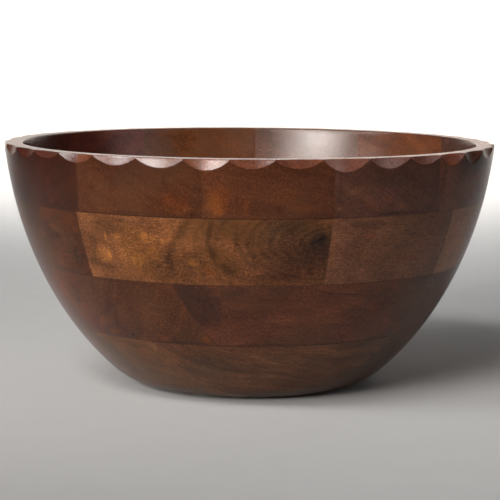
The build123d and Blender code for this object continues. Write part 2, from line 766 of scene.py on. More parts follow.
@dataclass(frozen=True)
class LacquerAndPaintedSheen:
    """The satin lacquer's gloss over the wood, and painted sheen that lightens the gouged faces and brim.
    """

    roughness: tuple[float, float] = (0.16, 0.26)
    gloss: float = 0.22
    gouged_gloss: float = 0.85
    # Lightens the gouged faces' colour: painted sheen
    gouged_colour: Colour = (2.0, 1.8, 1.75)
    hollow_gloss: float = 0.6
    brim_gloss: float = 0.1
    # Lightens and warms the flat brim's colour: painted reflection
    brim_colour: Colour = (2.0, 1.65, 1.45)
    pore_depth: float = 0.00005
    ripple_depth: float = 0.00006
    ripple_scale: float = 1500


class WoodWorker:
    """Makes the material of one block."""

    def __init__(self, name: str, board: Board, grain: float, span: tuple[float, float]) -> None:
        """Start a block's wood.

        Args:
            name: Name of the material.
            board: Its look.
            grain: Plan direction of its grain, in degrees from +X.
            span: The lowest and highest level of the block.
        """
        self.board = board
        self.grain = math.radians(grain)
        self.span = span
        self.lacquer = LacquerAndPaintedSheen()
        self.seed = sum(ord(letter) * (place + 1) for place, letter in enumerate(name)) % 97
        self.wires = Wiring(name)
        self.place = self.wires.node("ShaderNodeTexCoord", output="Object")

    def grain_place(self) -> Socket:
        """Coordinates in millimetres: along the grain, across it and up, warped as grown wood is.

        Returns:
            The coordinates.
        """
        wires, board = self.wires, self.board
        across, up = (MM * away for away in board.pith)
        pith = (-math.sin(self.grain) * across, math.cos(self.grain) * across, up)
        rotation = (0, math.radians(board.dip), self.grain)
        straight = wires.placed(self.place, pith, rotation, (MM, MM, MM))
        shifted = bent = wires.added(straight, (self.seed * SEED_STEP, 0, 0))
        for scale, reach in BENDS:
            bent = wires.added(bent, self.wander(shifted, scale, 2, (0, reach, reach)))
        return bent

    def wander(self, vector: Socket, scale: float, detail: float, reach: Place) -> Socket:
        """A vector that wanders about zero, as far as its reach."""
        noise = self.wires.noise(vector, scale, detail, 0.5, "Color")
        return self.wires.stretched(self.wires.added(noise, (-0.5, -0.5, -0.5)), reach)

    def figure(self, kind: Figure, grain: Socket) -> Socket:
        """One of the wood's noises.

        Args:
            kind: Which one.
            grain: The coordinates of the grain.

        Returns:
            The noise, about 0.5.
        """
        along, across, scale, detail, roughness = kind.value
        place = self.wires.stretched(grain, (along, across, across))
        return self.wires.noise(place, scale, detail, roughness)

    def colour(self) -> tuple[Socket, Socket, Socket]:
        """The wood's colour, its open pores and its fibres.

        Returns:
            The colour, the pores and the fibres.
        """
        wires, board = self.wires, self.board
        grain = self.grain_place()
        parts = wires.node("ShaderNodeSeparateXYZ", {0: grain}).node
        out = wires.length(wires.stretched(grain, (0, 1, 1)))
        along = wires.math("MULTIPLY", parts.outputs["X"], RING_CHANGE)
        depth = wires.math("DIVIDE", out, board.ring_gap)
        layer = wires.node("ShaderNodeCombineXYZ", {0: depth, 1: along})
        rings = wires.noise(layer, 1.0, 3, 0.6)
        fibre = self.figure(Figure.FIBRE, grain)
        mottle = self.figure(Figure.MOTTLE, grain)
        layers = (rings, fibre, mottle, self.figure(Figure.SPECKLE, grain))
        weights = (board.rings, board.fibre, board.mottle, board.speckle)
        tone = 0.5
        for layer, weight in zip(layers, weights):
            tone = wires.math("ADD", tone, self.swung(layer, weight))
        shade = wires.ramp(tone, board.stops())
        drift = wires.remap(self.figure(Figure.DRIFT, grain), *DRIFT_FROM, 0, board.cast_share)
        shade = wires.mix(drift, shade, (*board.cast, 1))
        if board.knot:
            shade = self.ringed(shade, board.knot, grain)
        for tint, rows in board.marks.items():
            for row in rows:
                shade = self.marked(shade, tint, Mark(*row), grain)
        pore = wires.remap(self.figure(Figure.PORES, grain), *PORES_FROM)
        shade = wires.mix(wires.math("MULTIPLY", pore, PORE_SHARE), shade, (*PORE_COLOUR, 1))
        return self.glued(shade, mottle), pore, fibre

    def swung(self, noise: Socket, weight: float) -> Socket:
        """A noise brought about zero and weighed."""
        return self.wires.math("MULTIPLY", self.wires.math("SUBTRACT", noise, 0.5), weight)

    def wall_place(self, bearing: float, height: float, tilt: float, scale: Place) -> Socket:
        """Coordinates on the outer wall about a point: along it, through it and up.

        Args:
            bearing: The point's bearing.
            height: Its height in millimetres.
            tilt: How far the right end is turned up, in degrees.
            scale: The unit each way, in millimetres.

        Returns:
            The coordinates.
        """
        outside = BowlForm().outside
        turn = math.radians(bearing)
        centre = as_point(outside.radius(height * MM), height * MM, bearing)
        rotation = (0, -math.radians(tilt), turn)
        return self.wires.placed(self.place, centre, rotation, tuple(MM * size for size in scale))

    def marked(self, shade: Socket, tint: Tint, mark: Mark, grain: Socket) -> Socket:
        """The wood with one mark on it.

        Args:
            shade: The wood's colour.
            tint: What the mark does to it.
            mark: The mark.
            grain: The coordinates of the grain.

        Returns:
            The marked colour.
        """
        wires = self.wires
        near = self.wall_place(mark.bearing, mark.height, mark.tilt, (mark.width, MARK_DEPTH, mark.rise))
        broken = self.swung(self.figure(Figure.EDGE, grain), 2 * mark.ragged)
        away = wires.math("ADD", wires.length(near), broken)
        cover = wires.remap(away, 1 - mark.softness, 1, mark.strength, 0)
        return wires.mix(cover, shade, (*tint.value, 1), "MULTIPLY")

    def ringed(self, shade: Socket, knot: Rings, grain: Socket) -> Socket:
        """The wood with rings about a knot.

        Args:
            shade: The wood's colour.
            knot: The rings.
            grain: The coordinates of the grain.

        Returns:
            The ringed colour.
        """
        wires = self.wires
        near = self.wall_place(knot.bearing, knot.height, 0, (knot.stretch, KNOT_DEPTH, 1))
        near = wires.added(near, self.wander(grain, 0.05, 3, RING_WOBBLE))
        share = wires.math("DIVIDE", wires.length(near), knot.reach)
        stops = [(place, (dark, dark, dark)) for place, dark in knot.chart]
        darkness = wires.ramp(share, stops)
        return wires.mix(darkness, shade, (*knot.tint.value, 1), "MULTIPLY")

    def glued(self, shade: Socket, mottle: Socket) -> Socket:
        """The wood with thin dark glue lines at its top and bottom.

        Args:
            shade: The wood's colour.
            mottle: The broad noise that makes the lines uneven.

        Returns:
            The colour with its glue lines.
        """
        wires = self.wires
        height = wires.node("ShaderNodeSeparateXYZ", {0: self.place}, 2)
        uneven = wires.remap(mottle, *GLUE_FROM, GLUE_LEAST, 1)
        for level, strength in zip(self.span, self.board.glue):
            gap = wires.math("ABSOLUTE", wires.math("SUBTRACT", height, level))
            line = wires.remap(gap, *GLUE_REACH, strength, 0)
            shade = wires.mix(wires.math("MULTIPLY", line, uneven), shade, (*GLUE_COLOUR, 1))
        return shade

    def make(self) -> bpy.types.Material:
        """Build the whole material.

        Returns:
            The material.
        """
        wires, lacquer = self.wires, self.lacquer
        shade, pore, fibre = self.colour()
        ripple = wires.noise(self.place, lacquer.ripple_scale, 2, 0.6)
        waved = {"Height": ripple, "Distance": lacquer.ripple_depth, "Strength": 1.0}
        bump = wires.node("ShaderNodeBump", waved)
        closed = wires.math("SUBTRACT", 1.0, pore)
        pitted = {"Height": closed, "Distance": lacquer.pore_depth, "Strength": 1.0, "Normal": bump}
        bump = wires.node("ShaderNodeBump", pitted)
        wear = wires.remap(fibre, 0.3, 0.7, *lacquer.roughness)
        gloss = lacquer.gloss
        # Gouged and brim colour factors: painted sheen and painted reflection; the hollow's: the board's
        # inner colour
        gloss_tint_and_painted_sheen = {
            Cut.GOUGED: (lacquer.gouged_gloss, lacquer.gouged_colour),
            Cut.BRIM: (lacquer.brim_gloss, lacquer.brim_colour),
            Cut.HOLLOW: (lacquer.hollow_gloss, self.board.inner),
        }
        for cut, (shine, colour) in gloss_tint_and_painted_sheen.items():
            share = wires.node("ShaderNodeAttribute", output="Fac", attribute_name=cut.value)
            shade = wires.mix(share, shade, (*colour, 1), "MULTIPLY")
            gloss = wires.math("ADD", gloss, wires.math("MULTIPLY", share, shine - lacquer.gloss))
        skin = {"Base Color": shade, "Roughness": wear, "Specular IOR Level": gloss, "Normal": bump}
        return wires.finish(wires.node("ShaderNodeBsdfPrincipled", skin))


# ---- the courses of blocks


@dataclass
class Course:
    """One course of blocks between two glue lines, with the grain's plan direction in degrees from +X."""

    form: BowlForm
    low: float
    high: float
    looks: dict[str, Board]
    slots: dict[str, str]
    grain: float = 0.0

    def outline(self) -> Outline:
        """The course's closed section."""
        rise = self.form.outside.rise(self.low, self.high, self.form.wall_row)
        fall = self.form.inside.rise(self.low, self.high, self.form.wall_row)[::-1]
        return rise + fall

    def turned(self) -> bpy.types.Object:
        """The whole course as it is turned."""
        ring = turn_ring("turned_course", self.outline(), self.form.columns, self.low == 0)
        point_outwards(ring)
        return ring

    def blocks(self) -> list[tuple[str, list[SawCut]]]:
        """Each block's name and the cuts that bound it."""
        raise NotImplementedError

    def build(self) -> None:
        """Make each block, dress it and hang it on the frame."""
        ring = self.turned()
        for name, cuts in self.blocks():
            block = saw_block(ring, f"{name}_wood", cuts)
            block.data.materials.clear()
            look = self.looks[name]
            grain = self.grain if look.grain is None else look.grain
            wood = WoodWorker(name, look, grain, (self.low, self.high))
            block.data.materials.append(wood.make())
            note_cuts(block)
            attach(block, "root")
            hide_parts(name)
            LOG.info("%s: %d faces", name, len(block.data.polygons))
        bpy.data.objects.remove(ring)


@dataclass
class ParallelCourse(Course):
    """A course of parallel boards; the hollow parts most of them into two blocks."""

    seams: tuple[float, ...] = ()

    def boards(self) -> list[list[str]]:
        """The blocks of each board; where the hollow parts any, it parts all but the outer two.

        Returns:
            The names, board by board.
        """
        names = list(self.looks)
        if len(names) == len(self.seams) + 1:
            return [[name] for name in names]
        parted = [names[place:place + 2] for place in range(1, len(names) - 1, 2)]
        return [names[:1], *parted, names[-1:]]

    def blocks(self) -> list[tuple[str, list[SawCut]]]:
        """Each block's name and the cuts that bound it.

        Returns:
            The name and the cuts, block by block.
        """
        turn = math.radians(self.grain)
        along = (math.cos(turn), math.sin(turn))
        left = (-along[1], along[0])
        right = (along[1], -along[0])
        made = []
        for index, names in enumerate(self.boards()):
            cuts = []
            if index > 0:
                cuts.append(SawCut(self.seams[index - 1], left))
            if index < len(self.seams):
                cuts.append(SawCut(-self.seams[index], right))
            if len(names) == 1:
                made.append((names[0], cuts))
                continue
            near, far = names
            made.append((near, [*cuts, SawCut(0, (-along[0], -along[1]))]))
            made.append((far, [*cuts, SawCut(0, along)]))
        return made


@dataclass
class BaseCourse(ParallelCourse):
    """The boards under the bowl, which carry its foot and its floor."""

    blend_rows: int = 12

    def outline(self) -> Outline:
        """The section from the foot's middle up the wall and back down to the floor's middle.

        Returns:
            Radius and height of each point.
        """
        points = []
        for wall in (self.form.outside, self.form.inside):
            blend = wall.foot(self.blend_rows)
            points.append(blend[:-1] + wall.rise(wall.tangent()[0], self.high, self.form.wall_row))
        return points[0] + points[1][::-1]


@dataclass
class MitredCourse(Course):
    """A course of segments with radial joints."""

    joints: tuple[float, ...] = ()

    def blocks(self) -> list[tuple[str, list[SawCut]]]:
        """Each segment's name and the two joints that bound it.

        Returns:
            The name and the cuts, block by block.
        """
        made = []
        ends = (*self.joints[1:], self.joints[0] + 360)
        for name, start, end in zip(self.looks, self.joints, ends):
            first, last = math.radians(start), math.radians(end)
            cuts = [
                SawCut(0, (math.cos(first), math.sin(first))),
                SawCut(0, (-math.cos(last), -math.sin(last))),
            ]
            made.append((name, cuts))
        return made


@dataclass
class RimCourse(ParallelCourse):
    """The top course, whose outer corner is scooped all the way round."""

    column_shares: tuple[float, ...] = (0, 0.009, 0.018, 0.028, 0.06, 0.12, 0.19, 0.27, 0.35, 0.43)
    edge_rows: tuple[float, ...] = (0.00045, 0.0003, 0.00015)
    wall_rows: int = 5
    cut_rows: int = 5
    corner_rows: int = 4
    flat_rows: int = 5
    deepest: float = 0.0095
    edge_band: float = 0.0006

    @property
    def rim(self) -> GougedRim:
        """The cuts round the rim."""
        return GougedRim(self.form.outside)

    def lower_wall(self) -> Outline:
        """Points up the wall to just under the deepest cut."""
        return self.form.outside.rise(self.low, self.high - self.deepest, self.form.wall_row)

    def hollow_side(self) -> Outline:
        """Points from the flat rim down the hollow's wall."""
        corner = self.form.inner_corner()
        wall = self.form.inside.rise(self.low, corner[-1][1], self.form.wall_row)[::-1]
        return corner + wall[1:]

    def column(self, index: int, foot: float, top: float) -> list[Place]:
        """Points up one column of the scooped rim.

        Args:
            index: The cut that the column lies in.
            foot: Its bearing at the cut's lower edge.
            top: Its bearing on the flat rim.

        Returns:
            Radius, height and bearing of each point, from the wall to the flat.
        """
        high, base = self.high, self.lower_wall()[-1][1]
        edge = self.rim.edge_height(index, foot)
        facet = math.radians(self.rim.lean)
        reach = self.rim.top_arris / math.tan((math.pi / 2 + facet) / 2)
        last = high - reach * math.cos(facet)
        squeeze = min(1, (last - edge) / self.edge_band)
        levels = list(np.linspace(base, edge - self.edge_rows[0], self.wall_rows + 1)[1:-1])
        levels += [edge - step for step in self.edge_rows] + [edge]
        levels += [edge + step * squeeze for step in self.edge_rows[::-1]]
        levels += list(np.linspace(levels[-1], last, self.cut_rows + 1)[1:])
        heights = np.array(levels)
        shares = np.clip((heights - edge) / (high - edge), 0, 1)
        bearings = foot + (top - foot) * shares
        radii = self.rim.surface(index, heights, bearings)
        points = list(zip(radii, heights, bearings))
        points += self.corner(radii[-1], last, facet, top)
        inner = self.hollow_side()[0][0]
        flat = np.linspace(points[-1][0], inner, self.flat_rows + 1)[1:-1]
        return points + [(radius, high, top) for radius in flat]

    def corner(self, radius: float, height: float, facet: float, bearing: float) -> list[Place]:
        """Points round the sanded corner between a cut and the flat rim.

        Args:
            radius: Radius where the cut ends.
            height: Height where the cut ends.
            facet: The cut's lean there, in radians.
            bearing: Bearing of the column.

        Returns:
            Radius, height and bearing of each point.
        """
        sweep = (self.high - height) / (1 - math.sin(facet))
        points = []
        for step in range(1, self.corner_rows + 1):
            angle = facet + (math.pi / 2 - facet) * step / self.corner_rows
            out = radius - sweep * (math.cos(facet) - math.cos(angle))
            points.append((out, self.high - sweep * (1 - math.sin(angle)), bearing))
        return points

    def columns(self) -> list[list[Place]]:
        """Every column round the rim, a crest at the first of each cut.

        Returns:
            The points of each column.
        """
        shares = (*self.column_shares, 0.5, *(1 - share for share in self.column_shares[:0:-1]))
        made = []
        for index in range(self.rim.count):
            start, end = self.rim.crest(index - 1), self.rim.crest(index)
            for share in shares:
                foot = start[0] + (end[0] - start[0]) * share
                top = start[1] + (end[1] - start[1]) * share
                made.append(self.column(index, foot, top))
        return made

    def turned(self) -> bpy.types.Object:
        """The course turned and then scooped, column by column.

        Returns:
            The whole course.
        """
        columns = self.columns()
        below, beside = self.lower_wall(), self.hollow_side()
        outline = below + [(radius, height) for radius, height, _ in columns[0]] + beside
        ring = turn_ring("turned_rim", outline, len(columns), False)
        points = []
        for column in columns:
            foot, top = column[0][2], column[-1][2]
            points += [as_point(radius, height, foot) for radius, height in below]
            points += [as_point(*place) for place in column]
            points += [as_point(radius, height, top) for radius, height in beside]
        ring.data.vertices.foreach_set("co", np.array(points, np.float32).ravel())
        ring.data.update()
        point_outwards(ring)
        return ring


# ---- the looks of the blocks


# A mark's numbers are its bearing and height, half its width and height, then its strength, tilt,
# raggedness and softness where these aren't the usual ones.

BASE_LOOKS = {
    "base_front_board": Board(
        (0.0845, 0.0315, 0.0119), dip=10, pith=(-40, -90), ring_gap=3.2, rings=0.8,
        cast=(0.0576, 0.0196, 0.0081), glue=(0, 0.8),
        marks={
            Tint.PALE: [
                (5, 32, 16, 5, 0.45, -10), (-7, 36.5, 10, 1, 0.8, -12, 0.3),
                (1, 33.5, 11, 0.9, 0.8, -16, 0.3), (7, 29.5, 12, 1, 0.9, -18, 0.3),
                (-2, 29, 9, 0.8, 0.7, -14, 0.3), (15, 31.5, 9, 1.5, 0.6, -30, 0.3),
                (10, 24, 13, 1, 0.6, -12, 0.3), (31, 31.5, 14, 2, 0.35, 6),
            ],
            Tint.DARK: [
                (-4, 31.5, 10, 0.8, 0.6, -14, 0.3), (4, 26.5, 11, 0.9, 0.6, -14, 0.3),
                (-3, 24, 12, 3, 0.35, -20), (15, 20, 16, 3, 0.3, -12), (38, 37.5, 16, 2, 0.5),
                # The last three darken the lower right and the wood towards the foot: painted shade
                (46, 16, 28, 12), (52, 28, 20, 14, 0.5), (8, 3, 70, 13, 0.5),
            ],
            Tint.COOL: [(-14, 24, 22, 14, 0.6, 0, 0.5, 0.6)],
        },
    ),
    "base_front_middle_board": Board(
        (0.0976, 0.0379, 0.0122), dip=10, pith=(-40, -90), ring_gap=3.4, cast=(0.0662, 0.0317, 0.0150),
        marks={
            Tint.PALE: [(-27, 36, 12, 2.5, 0.5, -6)],
            Tint.COOL: [(-31, 29, 5, 5, 0.5), (-50, 31, 9, 6, 0.4)],
            Tint.RED: [(-36, 32, 9, 4, 0.6, 30)],
            # The mark at a height of 3 darkens the wood towards the foot: painted shade
            Tint.DARK: [(-58, 37.5, 13, 2, 0.6, -8), (-35, 3, 40, 12, 0.45)],
        },
    ),
    "base_back_middle_board": Board((0.0634, 0.0207, 0.0081), pith=(60, -120)),
    "base_back_board": Board((0.0806, 0.0322, 0.0138), pith=(-50, 140)),
}
LOWER_LOOKS = {
    "lower_front_board": Board(
        (0.0872, 0.0260, 0.0114), dip=3, pith=(-150, -60), ring_gap=4.5, rings=0.45,
        cast=(0.0720, 0.0317, 0.0126), glue=(0.8, 0.4),
        marks={
            Tint.COOL: [
                (-14, 67, 26, 18, 0.8, -55, 0.2, 0.3), (-3, 74, 11, 4), (8, 75, 10, 3.5, 0.8),
                (36, 69, 16, 2.4, 0.45), (47, 75, 17, 3, 0.6, 3), (29, 62, 5, 3, 0.5),
            ],
            Tint.DARK: [
                (-14, 67, 25, 16, 0.75, -55, 0.2, 0.5), (0, 66, 30, 17, 0.45, 0, 0.5, 0.6),
                (12, 76.5, 12, 1.3, 0.6, -6), (19, 73.5, 11, 0.9, 0.75, -14, 0.3),
                (27, 71.2, 12, 1, 0.85, -5, 0.3), (38, 72.4, 9, 1.1, 0.7, 4),
                (25, 52.5, 13, 0.9, 0.5, -3), (-2, 52, 20, 12, 0.4, 0, 0.5, 0.6), (4, 61, 18, 8, 0.25),
                (42, 41.2, 14, 1.4, 0.6),
            ],
            Tint.DEEP: [(-9, 53.5, 3.2, 1.1, 0.7, 8), (4, 41, 26, 0.9, 0.5)],
            Tint.RED: [(23, 63, 7, 5, 0.5), (36, 60, 7, 8, 0.7, -62)],
            Tint.ORANGE: [(28, 47.5, 12, 4.5, 0.4), (49, 46, 8, 4, 0.5, -30)],
        },
    ),
    "lower_second_left": Board(
        (0.0623, 0.0195, 0.0071), pith=(20, 130), ring_gap=3, rings=0.8, fibre=0.9,
        cast=(0.0720, 0.0299, 0.0126),
        marks={
            Tint.DARK: [
                (-36, 77, 26, 1.8, 0.45), (-39, 61, 8, 2.6, 0.5, 28), (-36, 43.2, 1.8, 2.4, 0.8),
                (-21.8, 43.2, 1.7, 2.6, 0.8),
            ],
            Tint.PALE: [
                (-46, 70, 9, 5, 0.35), (-42, 64, 7, 0.9, 0.8, 24), (-25, 64, 6, 0.7, 0.8, -8),
                (-24.5, 58.3, 7, 0.8, 0.9, -10), (-34, 58, 6, 0.7, 0.6, -8), (-33, 53, 5, 0.7, 0.5, -8),
                (-28.5, 48.6, 6, 0.7, 0.9, -14),
            ],
            Tint.ORANGE: [
                (-46.5, 50.5, 8.5, 2, 0.9, 42, 0.3), (-42.5, 43.8, 10, 2.4, 0.75, 4, 0.3),
                (-25.5, 44, 6.5, 2.6, 1, -12, 0.3), (-12, 43.8, 3.6, 3.6, 1, 0, 0.3),
            ],
            Tint.DEEP: [(-19, 41, 22, 0.8, 0.6)],
        },
    ),
    "lower_second_right": Board((0.0576, 0.0196, 0.0086), pith=(20, 130)),
    "lower_third_left": Board(
        (0.0792, 0.0176, 0.0052), pith=(40, -110), cast=(0.0864, 0.0380, 0.0115),
        marks={
            Tint.ORANGE: [(-60, 68, 8, 7, 0.5, 30), (-63, 44, 8, 2.5, 0.4, 20)],
            Tint.COOL: [(-52.5, 66, 3.5, 10, 0.8, -16)],
            Tint.DARK: [(-54, 60, 5, 2.5), (-63, 54, 5, 2.6, 0.6, 20)],
        },
    ),
    "lower_third_right": Board((0.0662, 0.0207, 0.0081), pith=(40, -110)),
    "lower_fourth_left": Board((0.0547, 0.0202, 0.0092), pith=(-30, -80)),
    "lower_fourth_right": Board((0.1066, 0.0369, 0.0115), pith=(-30, -80)),
    "lower_back_board": Board((0.0806, 0.0322, 0.0144), pith=(90, 60)),
}
KNOT_RINGS = Rings(
    bearing=18, height=104, stretch=2.0, reach=50, tint=Tint.DEEP, chart=(
        (0, 0.5), (0.06, 0.5), (0.08, 0.2), (0.1, 0.5), (0.12, 0.15), (0.155, 0.65), (0.175, 0.12),
        (0.2, 0.45), (0.23, 0.1), (0.27, 0.42), (0.295, 0.05), (0.33, 0.42), (0.355, 0.05), (0.39, 0.42),
        (0.415, 0.02), (0.45, 0.5), (0.475, 0), (0.5, 0.36), (0.52, 0), (0.6, 0), (0.62, 0.28),
        (0.64, 0), (0.7, 0.05), (0.72, 0.26), (0.735, 0), (1, 0),
    ),
)
UPPER_LOOKS = {
    "upper_segment_1": Board(
        (0.1223, 0.0433, 0.0140), 2, grain=-12, dip=2, pith=(-120, 40), ring_gap=6, rings=0.3, fibre=0.9,
        mottle=1.1, speckle=0.8, cast=(0.1181, 0.0461, 0.0126), cast_share=0.4, glue=(0.5, 0.8),
        knot=KNOT_RINGS,
        marks={
            Tint.DEEP: [
                (-18.6, 90.5, 8, 4.2, 0.62, 104, 0.3), (-18, 98.3, 10.5, 3.9, 0.62, 68, 0.3),
                (-14.8, 110.3, 14, 4.3, 0.62, 55, 0.3), (-8.6, 110, 10.5, 2.8, 0.62, 76, 0.3),
                (-8.5, 97.5, 12.5, 2.8, 0.62, 107, 0.3), (-5.2, 87, 9, 3.6, 0.5, 140, 0.4),
                (16.2, 105.3, 6.5, 2, 0.95, 26, 0.3),
            ],
            Tint.DARK: [
                (-2.9, 105.5, 10.5, 1.8, 0.6, 86, 0.3), (1, 105, 9, 1.5, 0.5, 84, 0.3),
                (18.5, 98, 8, 34, 0.6), (-4, 88, 13, 8, 0.45), (9, 113, 15, 6, 0.4),
                (4, 80, 34, 8, 0.6, 0, 0.5, 0.7), (-36.5, 111.5, 7, 1.3, 0.65, 8),
                (-37.5, 108.8, 5, 0.8, 0.5), (-29.8, 114, 4, 2, 0.8), (-20, 112.5, 5, 1.4, 0.55, -10),
                (-24, 116, 9, 0.9, 0.35), (-32.8, 97, 1, 9, 0.5), (-32.2, 88.5, 3, 2.5, 0.4),
                (15, 100, 12, 22, 0.5, 0, 0.5, 0.7), (-14.5, 82, 8, 3.5, 0.4), (-2, 85, 8, 3, 0.4),
                (8, 92, 26, 24, 0.75, 0, 0.5, 0.6), (16, 104, 9, 8, 0.6),
                (15.5, 97, 9, 19, 0.8, 0, 0.3, 0.6), (13, 83, 12, 6, 0.35),
            ],
            Tint.GOLDEN: [
                (-34.7, 103, 1.3, 5.5, 0.95, 0, 0.3), (-31.5, 104.5, 4.5, 2.6, 0.75, 12),
                (-36.8, 92, 7, 6.5, 0.75, 0, 0.5, 0.6), (-34.6, 93, 1.8, 6, 0.75),
                (-24, 105.5, 3, 4, 0.6), (-26, 99, 16, 14, 0.35, 0, 0.5, 0.5), (-27, 90, 5, 7, 0.45),
                (-22.5, 97, 6, 4, 0.3), (-12.6, 91, 4.2, 4.2, 0.9, 0, 0.5, 0.7),
                (-19.8, 103, 2.2, 3, 0.6),
            ],
            Tint.ORANGE: [(-40.8, 97, 2.5, 12, 0.4), (-9, 86, 8, 3, 0.6, -38), (2.5, 100, 3, 10, 0.4)],
            Tint.RED: [(10, 92, 22, 20, 0.35, 0, 0.5, 0.5)],
            Tint.COOL: [(8, 100, 26, 24, 0.55, 0, 0.5, 0.6), (16, 104, 8, 9, 0.6, 0, 0.3)],
        },
    ),
    "upper_segment_2": Board(
        (0.1306, 0.0502, 0.0256), grain=36, dip=-1, pith=(-200, 20), ring_gap=7, rings=0.35, fibre=0.9,
        cast=(0.0979, 0.0414, 0.0162),
        marks={
            Tint.DARK: [
                (28, 112.6, 16, 3, 0.6, 0, 0.3, 0.6), (22, 113, 12, 7, 0.35),
                (29, 110, 13, 0.8, 0.55, 0, 0.3), (25, 99, 13, 14, 0.4), (39, 98.8, 12, 2.2, 0.35),
                (25.5, 81.3, 6, 2.6, 0.5), (45, 79.2, 18, 1.2, 0.4), (54.2, 110, 1.2, 7, 0.6),
            ],
            Tint.PALE: [
                (22.5, 112.9, 7.5, 0.6, 0.8, -28, 0.2), (32, 108.9, 9, 0.6, 0.6, 3, 0.3),
                (42, 88, 17, 1.2, 0.55), (40, 84.5, 17, 1, 0.55),
            ],
            Tint.ORANGE: [(19.6, 98, 1.8, 16, 0.3)],
            Tint.RED: [(28, 106, 8, 2.4, 0.6), (41, 91, 18, 3, 0.6)],
            Tint.GOLDEN: [(27, 95, 10, 7, 0.25)],
            Tint.COOL: [(40, 105.3, 9, 1.3)],
        },
    ),
    "upper_segment_3": Board(
        (0.2340, 0.0930, 0.0448), grain=87, pith=(-160, -60), ring_gap=8, rings=0.3, mottle=0.4,
        marks={
            Tint.ORANGE: [(65, 92, 14, 8, 0.3)],
            Tint.COOL: [(60, 112, 12, 4, 0.3)],
        },
    ),
    "upper_segment_4": Board((0.0749, 0.0230, 0.0086), grain=153, pith=(120, -60), rings=0.5),
    "upper_segment_5": Board((0.1094, 0.0380, 0.0115), grain=39, pith=(-90, 60), rings=0.5, mottle=0.9),
    "upper_segment_6": Board(
        (0.0514, 0.0135, 0.0030), grain=-75, dip=8, pith=(80, -150), ring_gap=6, rings=0.7, mottle=0.9,
        cast=(0.0979, 0.0403, 0.0126), cast_share=0.5,
        marks={
            Tint.GOLDEN: [(-53, 105.5, 10, 1.6, 0.5, -10)],
            Tint.ORANGE: [(-60, 100.5, 12, 2.8, 0.5, -12), (-70, 106, 9, 4, 0.4, 20)],
            Tint.DARK: [(-46, 85, 9, 6, 0.6, 10), (-53, 79.5, 16, 1.8, 0.5)],
            Tint.COOL: [(-47, 90, 11, 10), (-56, 92, 14, 4, 0.5, -8), (-63, 113, 9, 3.5, 0.5)],
        },
    ),
}
